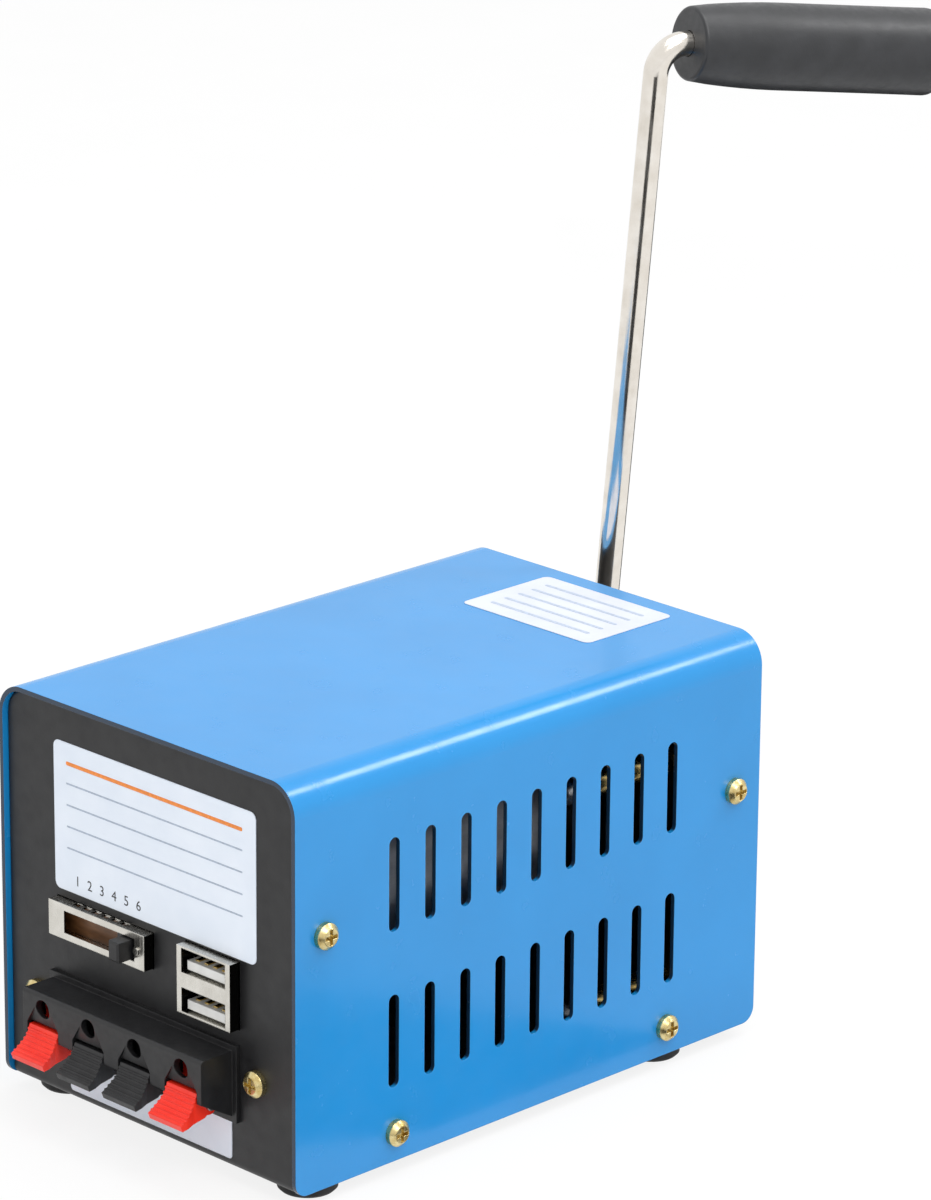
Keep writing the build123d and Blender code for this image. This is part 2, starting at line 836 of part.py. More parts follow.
def lay_pinion():
    """The pinion under the crank gear, with plain ends that space it out."""
    body = pinion(lay_x, lay_z, lay_pinion_teeth, crank_plane_y, lay_angle + 180, lay_shaft_diameter)
    spacer = ring_y(lay_x, lay_z, lay_plane_y + gear_width, crank_plane_y - pinion_overhang,
                    lay_hub_diameter, lay_shaft_diameter)
    return body + spacer


def rear_bush():
    """The flanged bush in the rear panel."""
    bore = shaft_bore(crank_shaft_diameter)
    body = ring_y(shaft_x, shaft_z, rear_in - rear_bush_tail, rear_y, rear_bush_diameter, bore)
    return body + ring_y(shaft_x, shaft_z, rear_y, rear_flange_y, rear_bush_flange_diameter, bore)


# ---------------------------------------------------------------- motor
def motor_can():
    """The drawn can, closed at the gearbox end by its bearing boss."""
    radius = motor_diameter / 2
    body = bar_y(motor_x, motor_z, motor_back_y, front_plate_y, 2 * radius)
    body = fillet(body.edges().group_by(Axis.Y)[-1], motor_can_round)
    body = body + bar_y(motor_x, motor_z, front_plate_y - motor_can_wall,
                        front_plate_y + motor_boss_height, motor_boss_diameter)
    body = body - bar_y(motor_x, motor_z, motor_back_y, front_plate_y - motor_can_wall, can_bore)
    holes = [bar_y(motor_x, motor_z, front_plate_y - 2 * motor_can_wall,
                   front_plate_y + motor_boss_height, motor_bush_diameter)]
    holes += [seat * screw_hole(2 * short_screw_length) for seat in motor_screw_seats()]
    return body - holes


def motor_end_cap():
    """The moulded cap that closes the can and holds the brushes."""
    disc = bar_y(motor_x, motor_z, motor_end_y, motor_back_y, motor_diameter)
    disc = chamfer(disc.edges().group_by(Axis.Y)[0], motor_can_round)
    collar = ring_y(motor_x, motor_z, motor_back_y, motor_back_y + motor_cap_collar,
                    can_bore - 2 * socket_clearance, motor_cap_bore)
    bore = bar_y(motor_x, motor_z, motor_end_y, motor_back_y, motor_bush_diameter)
    return disc + collar - bore


def motor_bush(y0, y1):
    return ring_y(motor_x, motor_z, y0, y1, motor_bush_diameter, shaft_bore(motor_shaft_diameter))


def motor_magnets():
    """Two curved magnets, left and right of the armature."""
    ring = ring_y(motor_x, motor_z, magnet_back_y, magnet_front_y,
                  can_bore - 2 * socket_clearance, can_bore - 2 * magnet_thickness)
    gap = panel_slab(motor_x, motor_z, magnet_gap, motor_diameter, magnet_back_y, magnet_front_y)
    return ring - gap


def motor_armature():
    """The slotted iron core."""
    diameter = can_bore - 2 * (magnet_thickness + armature_gap)
    body = bar_y(motor_x, motor_z, armature_back_y, armature_front_y, diameter)
    slot = slab(diameter / 2 - armature_slot_depth, diameter, armature_back_y, armature_front_y,
                -armature_slot_width / 2, armature_slot_width / 2)
    slots = [
        Pos(motor_x, 0, motor_z) * Rot(0, 360 * index / armature_pole_count, 0) * slot
        for index in range(armature_pole_count)
    ]
    shaft = bar_y(motor_x, motor_z, armature_back_y, armature_front_y, motor_shaft_diameter)
    return body - slots - shaft


def motor_windings():
    """The coil ends that stand out of the core at both ends."""
    ends = [
        (armature_front_y, armature_front_y + winding_length),
        (armature_back_y - winding_length, armature_back_y),
    ]
    return [ring_y(motor_x, motor_z, y0, y1, winding_diameter, motor_shaft_diameter)
            for y0, y1 in ends]


def motor_commutator():
    """A copper drum with its slots."""
    body = ring_y(motor_x, motor_z, commutator_back_y, commutator_front_y,
                  commutator_diameter, motor_shaft_diameter)
    radius = commutator_diameter / 2
    slot = slab(radius - commutator_wall, radius, commutator_back_y, commutator_front_y,
                -commutator_slot / 2, commutator_slot / 2)
    return body - [
        Pos(motor_x, 0, motor_z) * Rot(0, 360 * index / armature_pole_count, 0) * slot
        for index in range(armature_pole_count)
    ]


def motor_brushes():
    """Two carbon blocks between the commutator and the cap's collar."""
    start = commutator_diameter / 2 + brush_gap
    end = cap_collar_reach()
    low, high = motor_z - brush_width / 2, motor_z + brush_width / 2
    collar_end = motor_back_y + motor_cap_collar
    return [
        slab(motor_x + start, motor_x + end, motor_back_y, collar_end, low, high),
        slab(motor_x - end, motor_x - start, motor_back_y, collar_end, low, high),
    ]


def cap_collar_reach():
    """How far a brush reaches from the motor's axis to meet the cap's collar."""
    half_width = brush_width / 2
    return ((motor_cap_bore / 2) ** 2 - half_width ** 2) ** 0.5


def motor_terminals():
    """Two flat tabs on the end cap."""
    return [
        panel_slab(motor_x + side * motor_tab_offset, motor_z, motor_tab_thickness,
                   motor_tab_width, motor_end_y - motor_tab_length, motor_end_y)
        for side in (-1, 1)
    ]


def motor_leads():
    """Two insulated leads from the motor's tabs down to the board."""
    start_y = motor_end_y - motor_tab_length
    leads = []
    for side in (-1, 1):
        tab_x = motor_x + side * motor_tab_offset
        drop_x = tab_x + side * lead_spread
        drop_y = start_y - lead_reach
        route = [
            (tab_x, start_y, motor_z),
            (tab_x, drop_y, motor_z),
            (drop_x, drop_y, motor_z - lead_spread),
            (drop_x, drop_y, board_top_z),
        ]
        leads.append(round_wire(route, lead_diameter, lead_bend))
    return leads


# ---------------------------------------------------------------- crank
def crank_rod():
    """One bent rod: the end in the shaft, the long arm and the end in the grip."""
    end = tuple(
        start + rod_end * part for start, part in zip((0, arm_y, arm_length), grip_axis)
    )
    route = [(0, shaft_end_y - rod_socket_depth, 0), (0, arm_y, 0), (0, arm_y, arm_length), end]
    return crank_place * round_wire(route, rod_diameter, rod_bend)


def shaft_collar():
    """A stop ring outside the rear panel, with a tapped hole for its set screw."""
    body = bar_y(shaft_x, shaft_z, collar_y, shaft_end_y, collar_diameter)
    body = chamfer(body.edges().filter_by(GeomType.CIRCLE), collar_edge)
    bore = bar_y(shaft_x, shaft_z, collar_y, shaft_end_y, crank_shaft_diameter)
    return body - bore - collar_set_screw_room()


def collar_set_screw_room():
    """The tapped hole in the collar, turned to the arm's side."""
    middle_y = (collar_y + shaft_end_y) / 2
    return Pos(0, middle_y, 0) * crank_place * bar_z(0, 0, 0, collar_diameter, set_screw_diameter)


def collar_set_screw():
    """A headless screw with a round-cornered socket in its end."""
    middle_y = (collar_y + shaft_end_y) / 2
    low, high = crank_shaft_diameter / 2, collar_diameter / 2 - collar_edge
    body = bar_z(0, 0, low, high, set_screw_diameter - 2 * socket_clearance)
    socket = Pos(0, 0, high - set_screw_socket) * extrude(
        RegularPolygon(set_screw_socket / 2, 6), set_screw_socket
    )
    shaft = bar_y(0, 0, -collar_length, collar_length, crank_shaft_diameter)
    return Pos(0, middle_y, 0) * crank_place * (body - socket - shaft)


def crank_grip():
    """The barrelled grip, turned about its own axis, with a pocket at its far end."""
    near, far = grip_start, grip_start + grip_length
    near_radius, mid_radius, far_radius = (
        grip_near_diameter / 2, grip_mid_diameter / 2, grip_far_diameter / 2
    )
    bore_radius = rod_diameter / 2 + grip_clearance
    side = Spline(
        (near_radius, near + grip_near_round),
        (mid_radius, near + grip_mid_at),
        (far_radius, far - grip_far_round),
        tangents=[(mid_radius - near_radius, grip_mid_at / 2), (0, 1)],
    )
    end = RadiusArc(
        (far_radius, far - grip_far_round), (far_radius - grip_far_round, far), -grip_far_round
    )
    rest = Polyline(
        (far_radius - grip_far_round, far),
        (bore_radius, far),
        (bore_radius, near),
        (near_radius - grip_near_round, near),
        (near_radius, near + grip_near_round),
    )
    body = revolve(Plane.XZ * make_face(side + end + rest), Axis.Z)
    pocket = bar_z(0, 0, far - grip_pocket_depth, far, grip_pocket_diameter)
    return grip_place * (body - pocket)


def grip_clip():
    """The push-on clip that keeps the grip on the rod."""
    ring = bar_z(0, 0, clip_from, clip_from + clip_thickness, clip_diameter)
    return grip_place * (ring - bar_z(0, 0, 0, rod_end, rod_diameter))


def grip_end_cap():
    """The plug that closes the grip's pocket."""
    far = grip_start + grip_length
    plug = bar_z(0, 0, far - grip_cap_thickness, far, grip_pocket_diameter)
    return grip_place * plug


# ---------------------------------------------------------------- terminal block
def terminal_housing():
    """The moulded block: a flange, four cells and a hooded front with wire holes."""
    side = make_face(Polyline(
        (block_back_y, block_top_z),
        (block_front_y, block_top_z),
        (block_front_y, block_front_low_z),
        (flange_front_y, block_low_z),
        (block_back_y, block_low_z),
        close=True,
    ))
    front_top = side.vertices().sort_by(Axis.X)[:2].sort_by(Axis.Y)[-1]
    body = prism_x(fillet(front_top, block_edge), block_left, block_right)
    body = body + slab(
        block_left - block_flange, block_right + block_flange, flange_front_y, front_y,
        block_low_z - block_flange, block_top_z + block_flange,
    )
    body = body + block_lugs()
    cuts = [cut for x in terminal_places for cut in terminal_cell(x)]
    reach = block_width / 2 - block_wall / 2
    cuts.append(bar_x(pivot_y, lever_pivot_z, block_x - reach, block_x + reach, pin_hole))
    return body - cuts


def block_lugs():
    """Snap lugs above and below, behind the bracket."""
    return [
        slab(
            block_x + side * lug_spread - lug_width / 2,
            block_x + side * lug_spread + lug_width / 2,
            bracket_back_y, bracket_back_y + lug_depth, z - lug_height, z + lug_height,
        )
        for side in (-1, 1)
        for z in (block_low_z, block_top_z)
    ]


def terminal_cell(x):
    """Everything that one terminal takes out of the block."""
    ceiling_z = block_top_z - block_wall
    wall_y = block_front_y + block_wall
    rear_y0 = block_back_y - block_wall
    room = make_face(Polyline(
        (block_front_y - sheet, front_wall_low_z),
        (wall_y, front_wall_low_z),
        (wall_y, ceiling_z),
        (rear_y0, ceiling_z),
        (rear_y0, floor_z),
        (flange_front_y, floor_z),
        (flange_front_y, 0),
        (block_front_y - sheet, 0),
        close=True,
    ))
    cell = prism_x(room, x - cell_half_width, x + cell_half_width)
    hole = bar_y(x, wire_hole_z, block_front_y - sheet, wall_y + sheet, wire_hole_diameter)
    slot = slab(
        x - spring_width / 2 - fit_gap, x + spring_width / 2 + fit_gap,
        rear_y0 - sheet, block_back_y + sheet,
        floor_z - fit_gap, floor_z + spring_thickness + fit_gap,
    )
    return [cell, hole, slot, wire_ramp(x)]


def wire_ramp(x):
    """A funnel that deepens and widens downwards from the wire hole."""
    outline = make_face(Polyline(
        (x - wire_ramp_top / 2, wire_hole_z),
        (x + wire_ramp_top / 2, wire_hole_z),
        (x + wire_ramp_bottom / 2, front_wall_low_z),
        (x - wire_ramp_bottom / 2, front_wall_low_z),
        close=True,
    ))
    slope = make_face(Polyline(
        (block_front_y, wire_hole_z),
        (block_front_y + wire_ramp_depth, front_wall_low_z),
        (block_front_y, front_wall_low_z),
        close=True,
    ))
    wedge = prism_x(slope, x - wire_ramp_bottom, x + wire_ramp_bottom)
    return wedge & prism_y(outline, block_front_y, block_front_y + block_wall)


def terminal_lever(x):
    """A push lever: thumb ramp and lip in front, eye on the pin, tongue inside."""
    top = (block_front_y + lever_top_back, lever_top_z)
    lip = (block_front_y - lip_reach, lip_z)
    run, rise = lip[0] - top[0], lip[1] - top[1]
    length = (run ** 2 + rise ** 2) ** 0.5
    middle = (
        (top[0] + lip[0]) / 2 - thumb_hollow * rise / length,
        (top[1] + lip[1]) / 2 + thumb_hollow * run / length,
    )
    ramp = ThreePointArc(top, middle, lip)
    outline = Polyline(
        lip,
        (lip[0] + lip_setback, lip_z - lip_thickness),
        (block_front_y + lever_heel_back, lever_heel_z),
        (pivot_y + lever_eye_radius, lever_pivot_z),
        (tongue_back_y, lever_top_z),
        (tongue_back_y, tongue_top_z),
        (tongue_front_y, tongue_top_z),
        (tongue_front_y, lever_top_z),
        top,
    )
    pivot = Pos(pivot_y, lever_pivot_z)
    side = make_face(ramp + outline) + pivot * Circle(lever_eye_radius)
    body = prism_x(side - pivot * Circle(pin_hole / 2), x - lip_width / 2, x + lip_width / 2)
    body = body + [
        bar_x((ramp @ at).X, (ramp @ at).Y, x - lip_width / 2, x + lip_width / 2,
              thumb_rib_diameter)
        for at in ((index + 1) / (thumb_rib_count + 1) for index in range(thumb_rib_count))
    ]
    return body & lever_plan(x)


def lever_plan(x):
    """The lever's outline from above: straight in its cell, wider at the lip."""
    flare_y = block_front_y - lip_flare_start
    wide_y = flare_y - lip_flare_length
    half, wide = lever_width / 2, lip_width / 2
    outline = make_face(Polyline(
        (x - half, front_y),
        (x - half, flare_y),
        (x - wide, wide_y),
        (x - wide, block_front_y - 2 * lip_reach),
        (x + wide, block_front_y - 2 * lip_reach),
        (x + wide, wide_y),
        (x + half, flare_y),
        (x + half, front_y),
        close=True,
    ))
    return extrude(outline, block_top_z)


def terminal_contact(x):
    """A bent strip: spring blade behind the lever, foot, and a tab up to the board."""
    tail_y = block_back_y + spring_tail
    left, right = x - spring_width / 2, x + spring_width / 2
    blade = slab(left, right, spring_y, spring_y + spring_thickness, floor_z, spring_top_z)
    foot = slab(left, right, spring_y, tail_y, floor_z, floor_z + spring_thickness)
    tab = slab(left, right, tail_y - spring_thickness, tail_y, floor_z, board_low_z)
    return blade + foot + tab


def lever_pivot_pin():
    reach = block_width / 2 - block_wall / 2 - fit_gap
    return bar_x(pivot_y, lever_pivot_z, block_x - reach, block_x + reach, lever_pin_diameter)


def terminal_bracket():
    """A plate behind the panel that the block's lugs and the panel's screws hold."""
    middle_z = (block_top_z + block_low_z) / 2
    height = block_top_z - block_low_z
    plate = panel_slab(block_x, middle_z, block_width + 2 * bracket_side,
                       height + 2 * bracket_margin, front_in, bracket_back_y)
    opening = panel_slab(block_x, middle_z, block_width + 2 * fit_gap, height + 2 * fit_gap,
                         front_in, bracket_back_y)
    return plate - opening - [
        seat * screw_hole(2 * sheet) for seat in panel_screw_seats(front_in)
    ]


# ---------------------------------------------------------------- slide switch
def switch_can():
    """The folded can, open at the back, with its window, slots and rivet."""
    body = panel_slab(switch_x, switch_z, switch_width, switch_height, switch_face_y, switch_back_y)
    wall = 2 * switch_wall
    room = panel_slab(switch_x, switch_z, switch_width - wall, switch_height - wall,
                      switch_face_y + switch_wall, switch_back_y)
    window = panel_slab(window_x, switch_z, window_length, window_height,
                        switch_face_y, switch_face_y + switch_wall)
    top_z = switch_z + switch_height / 2
    slots = [
        slab(x - detent_length / 2, x + detent_length / 2,
             switch_face_y + detent_back - detent_width / 2,
             switch_face_y + detent_back + detent_width / 2,
             top_z - switch_wall, top_z)
        for x in (
            switch_left + detent_first + index * detent_pitch for index in range(switch_positions)
        )
    ]
    rivet = bar_y(switch_x + switch_width / 2 - rivet_inset, switch_z,
                  switch_face_y - rivet_height, switch_face_y + switch_wall, rivet_diameter)
    return body - room - window - slots + rivet


def switch_base():
    """The insulating board that closes the can's back."""
    inside = 2 * (switch_wall + socket_clearance)
    return panel_slab(switch_x, switch_z, switch_width - inside, switch_height - inside,
                      switch_base_y, switch_back_y)


def switch_knob():
    """The sliding knob with its carriage inside the can."""
    knob = panel_slab(knob_x, switch_z, knob_width, knob_height,
                      switch_face_y - knob_reach, carriage_front_y)
    knob = chamfer(knob.faces().sort_by(Axis.Y)[0].edges(), knob_edge)
    carriage = panel_slab(knob_x, switch_z, carriage_width, carriage_height,
                          carriage_front_y, carriage_front_y + carriage_thickness)
    return knob + carriage


def switch_pins():
    """Bent pins from the switch's base down to the board."""
    pins = []
    half = switch_pin_width / 2
    end_y = switch_back_y + switch_pin_reach
    for index in range(switch_positions + 1):
        x = switch_x + (index - switch_positions / 2) * switch_pin_pitch
        stub = slab(x - half, x + half, switch_back_y, end_y, switch_z - half, switch_z + half)
        drop = slab(x - half, x + half, end_y - switch_pin_width, end_y, board_top_z, switch_z)
        pins.append(stub + drop)
    return pins


# ---------------------------------------------------------------- USB socket pair
def port_room(z, extra):
    """A port's room, wider all round by extra."""
    return panel_slab(usb_x, z, port_width + 2 * extra, port_height + 2 * extra,
                      usb_face_y, port_back_y)


def usb_shell():
    """The folded shell round two stacked ports, each with its own liner."""
    body = panel_slab(usb_x, usb_z, usb_width, usb_height, usb_face_y, usb_back_y)
    room = panel_slab(usb_x, usb_z, usb_width - 2 * usb_wall, usb_height - 2 * usb_wall,
                      usb_face_y + usb_wall, usb_back_y)
    body = body - room + [port_room(z, usb_wall) for z in port_heights]
    return body - [port_room(z, 0) for z in port_heights]


def usb_insulator():
    """The moulding behind the ports, with a tongue standing into each."""
    inside = 2 * (usb_wall + socket_clearance)
    body = panel_slab(usb_x, usb_z, usb_width - inside, usb_height - inside,
                      port_back_y, usb_back_y)
    tongues = [
        slab(usb_x - port_tongue_width / 2, usb_x + port_tongue_width / 2,
             usb_face_y + port_tongue_back, port_back_y,
             tongue_low_z(z), tongue_low_z(z) + port_tongue_thickness)
        for z in port_heights
    ]
    return body + tongues


def tongue_low_z(port_z):
    """Underside of a port's tongue."""
    return port_z - port_height / 2 + port_tongue_lift


def usb_contacts():
    """Four gold strips on each tongue."""
    strips = []
    for port_z in port_heights:
        z = tongue_low_z(port_z) + port_tongue_thickness
        for index in range(port_contact_count):
            x = usb_x + (index - (port_contact_count - 1) / 2) * port_contact_pitch
            strips.append(slab(
                x - port_contact_width / 2, x + port_contact_width / 2,
                usb_face_y + 2 * port_tongue_back, port_back_y, z, z + port_contact_thickness,
            ))
    return strips


# ---------------------------------------------------------------- circuit board
def circuit_board():
    """An L-shaped board: deep beside the motor, shallow in front of it."""
    left, right = -board_width / 2, board_width / 2
    outline = make_face(Polyline(
        (left, board_front_y),
        (right, board_front_y),
        (right, strip_back_y),
        (board_split_x, strip_back_y),
        (board_split_x, board_back_y),
        (left, board_back_y),
        close=True,
    ))
    board = Pos(0, 0, board_low_z) * extrude(outline, board_thickness)
    return board - [seat * screw_hole(2 * board_thickness) for seat in board_screw_seats()]


def board_standoff(x, y):
    """A standoff clinched into the base, bored for the board's screw."""
    body = bar_z(x, y, sheet, board_low_z, standoff_diameter) + bar_z(x, y, 0, sheet, standoff_shank)
    bore = bar_z(x, y, board_top_z - screw_length, board_low_z, screw_diameter + 2 * hole_clearance)
    return body - bore


def board_capacitor(x):
    can = bar_z(x, capacitor_y, board_top_z, board_top_z + capacitor_height, capacitor_diameter)
    return chamfer(can.edges().group_by(Axis.Z)[-1], capacitor_edge)


def board_inductor():
    """A toroidal choke lying flat on the board."""
    top = board_top_z + inductor_height
    body = bar_z(inductor_x, inductor_y, board_top_z, top, inductor_diameter)
    body = body - bar_z(inductor_x, inductor_y, board_top_z, top, inductor_bore)
    return fillet(body.edges().group_by(Axis.Z)[-1], inductor_round)


def heat_sink():
    """A finned sink standing on the board."""
    top = board_top_z + sink_height
    low_y, high_y = sink_y - sink_width / 2, sink_y + sink_width / 2
    plate = slab(sink_x - sink_plate, sink_x, low_y, high_y, board_top_z, top)
    pitch = (sink_width - sink_fin_thickness) / (sink_fin_count - 1)
    fins = [
        slab(sink_x, sink_x + sink_fin_depth, y, y + sink_fin_thickness, board_top_z, top)
        for y in (low_y + index * pitch for index in range(sink_fin_count))
    ]
    return plate + fins


def board_regulator():
    """The regulator on the sink's flat side, with three legs."""
    right = sink_x - sink_plate
    left = right - regulator_thickness
    low_z = board_top_z + regulator_lift
    body = slab(left, right, sink_y - regulator_width / 2, sink_y + regulator_width / 2,
                low_z, low_z + regulator_height)
    leg = switch_pin_width
    middle = (left + right) / 2
    legs = [
        slab(middle - leg / 2, middle + leg / 2, y - leg / 2, y + leg / 2, board_top_z, low_z)
        for y in (sink_y + step * regulator_width / 4 for step in (-1, 0, 1))
    ]
    return body + legs


def board_chip(x):
    return slab(x - chip_width / 2, x + chip_width / 2, chip_y - chip_depth / 2,
                chip_y + chip_depth / 2, board_top_z, board_top_z + chip_height)


# ---------------------------------------------------------------- nodes
os.makedirs("parts", exist_ok=True)

save("chassis", chassis())
save("top_cover", top_cover())
save("cover_screws", *screws(cover_screw_seats(), screw_length))
save("rubber_feet", *[rubber_foot(x, y) for x, y in foot_places])
save("foot_screws", *screws(foot_screw_seats(), screw_length))
save("panel_screws", *screws(panel_screw_seats(front_y), screw_length))
save("panel_nuts", *[seat * hex_nut() for seat in panel_screw_seats(bracket_back_y)])

save("terminal_housing", terminal_housing())
save("terminal_bracket", terminal_bracket())
save("lever_pivot_pin", lever_pivot_pin())
save("terminal_contacts", *[terminal_contact(x) for x in terminal_places])
lever_names = ["lever_red_left", "lever_black_left", "lever_black_right", "lever_red_right"]
for name, x in zip(lever_names, terminal_places):
    save(name, terminal_lever(x))

save("switch_can", switch_can())
save("switch_base", switch_base())
save("switch_knob", switch_knob())
save("switch_pins", *switch_pins())
save("usb_shell", usb_shell())
save("usb_insulator", usb_insulator())
save("usb_contacts", *usb_contacts())

save("circuit_board", circuit_board())
save("board_standoffs", *[board_standoff(x, y) for x, y in standoff_places])
save("inner_screws", *screws(board_screw_seats() + pillar_screw_seats(), screw_length))
save("board_capacitors", *[board_capacitor(capacitor_x + step * capacitor_pitch)
                           for step in (0, 1)])
save("board_inductor", board_inductor())
save("heat_sink", heat_sink())
save("board_regulator", board_regulator())
save("board_chips", board_chip(chip_left_x), board_chip(chip_right_x))

save("motor_can", motor_can())
save("motor_end_cap", motor_end_cap())
save("motor_bushes", motor_bush(front_plate_y - motor_can_wall, front_plate_y + motor_boss_height),
     motor_bush(motor_end_y, motor_back_y))
save("motor_magnets", motor_magnets())
save("motor_brushes", *motor_brushes())
save("motor_terminals", *motor_terminals())
save("motor_leads", *motor_leads())
save("short_screws", *screws(motor_screw_seats() + plate_screw_seats(), short_screw_length))
save("motor_shaft", bar_y(motor_x, motor_z, motor_end_y, lay_plane_y + gear_width + gear_plane_gap / 2,
                          motor_shaft_diameter))
save("motor_armature", motor_armature())
save("motor_windings", *motor_windings())
save("motor_commutator", motor_commutator())
save("motor_pinion", pinion(motor_x, motor_z, motor_pinion_teeth, lay_plane_y, motor_angle + 180,
                            motor_shaft_diameter))

save("gearbox_front_plate", gearbox_front_plate())
save("gearbox_rear_plate", gearbox_rear_plate())
save("gearbox_pillars", *[pillar(x, z) for x, z in pillar_places])
save("crank_bushes", *plate_bushes(shaft_x, shaft_z, crank_shaft_diameter))
save("lay_bushes", *plate_bushes(lay_x, lay_z, lay_shaft_diameter))
save("lay_shaft", bar_y(lay_x, lay_z, front_plate_y,
                        rear_plate_y + plate_thickness + shaft_overhang, lay_shaft_diameter))
save("lay_gear", lay_gear())
save("lay_pinion", lay_pinion())
save("crank_shaft", crank_shaft())
save("crank_gear", crank_gear())
save("rear_bush", rear_bush())
save("shaft_collar", shaft_collar())
save("collar_set_screw", collar_set_screw())
save("crank_rod", crank_rod())
save("crank_grip", crank_grip())
save("grip_clip", grip_clip())
save("grip_end_cap", grip_end_cap())
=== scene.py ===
import json
import math

import bmesh
import bpy
from mathutils import Euler, Matrix, Vector

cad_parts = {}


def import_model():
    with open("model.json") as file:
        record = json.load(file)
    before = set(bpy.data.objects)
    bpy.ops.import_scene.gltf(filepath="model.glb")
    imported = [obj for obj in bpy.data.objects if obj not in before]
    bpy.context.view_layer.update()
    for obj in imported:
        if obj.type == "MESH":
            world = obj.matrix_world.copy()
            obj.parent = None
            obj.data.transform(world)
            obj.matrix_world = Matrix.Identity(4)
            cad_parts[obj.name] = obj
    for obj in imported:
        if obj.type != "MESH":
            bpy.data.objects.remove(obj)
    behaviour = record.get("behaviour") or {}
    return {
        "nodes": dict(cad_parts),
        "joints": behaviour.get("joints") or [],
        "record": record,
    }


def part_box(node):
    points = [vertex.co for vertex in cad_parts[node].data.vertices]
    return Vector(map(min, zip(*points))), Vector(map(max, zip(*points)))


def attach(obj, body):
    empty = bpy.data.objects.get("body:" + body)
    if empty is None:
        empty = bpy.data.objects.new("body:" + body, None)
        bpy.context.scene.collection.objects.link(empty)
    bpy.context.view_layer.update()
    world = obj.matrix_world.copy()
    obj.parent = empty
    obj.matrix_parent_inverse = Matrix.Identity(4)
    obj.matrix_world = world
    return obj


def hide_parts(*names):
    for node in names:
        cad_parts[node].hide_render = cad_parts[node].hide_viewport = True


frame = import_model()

MM = 0.001
NONE, WHITE = (0, 0, 0), (1, 1, 1)
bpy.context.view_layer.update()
nodes = frame["nodes"]


def add_object(name, data):
    """A new object with this data, placed in the scene."""
    item = bpy.data.objects.new(name, data)
    bpy.context.collection.objects.link(item)
    return item


# ---------------------------------------------------------------- material tools
EVEN = (1, 1, 1)                          # noise that is squeezed along no axis
NOISE_LOW, NOISE_HIGH = 0.3, 0.7          # nearly all of a noise lies between these
BEVEL_SAMPLES = 4
RELIEF_ROUND, WEAR_ROUND = 0.25, 0.4      # mm by which sharp edges are rounded in the shading
WEAR_FULL, WEAR_GONE = 0.80, 0.98         # cosines of the edge's turn between which wear fades
PATCH_LOW, PATCH_HIGH = 0.42, 0.62        # noise between which a patch of wear sets in
COLOR_A, COLOR_B, COLOR_OUT = 6, 7, 2     # sockets of a Mix node that mixes colours


def fill(node, **values):
    """Set inputs of a node by name, with _ for a space."""
    for name, value in values.items():
        node.inputs[name.replace("_", " ")].default_value = value


def feed(tree, socket, value):
    """Give a socket a number, a colour or another node's output."""
    if isinstance(value, float):
        socket.default_value = value
    elif isinstance(value, tuple):
        socket.default_value = (*value, 1)
    else:
        tree.links.new(value, socket)


def calculate(tree, operation, *values):
    """The output of a Math node on these values."""
    node = tree.nodes.new("ShaderNodeMath")
    node.operation = operation
    for socket, value in zip(node.inputs, values):
        feed(tree, socket, value)
    return node.outputs[0]


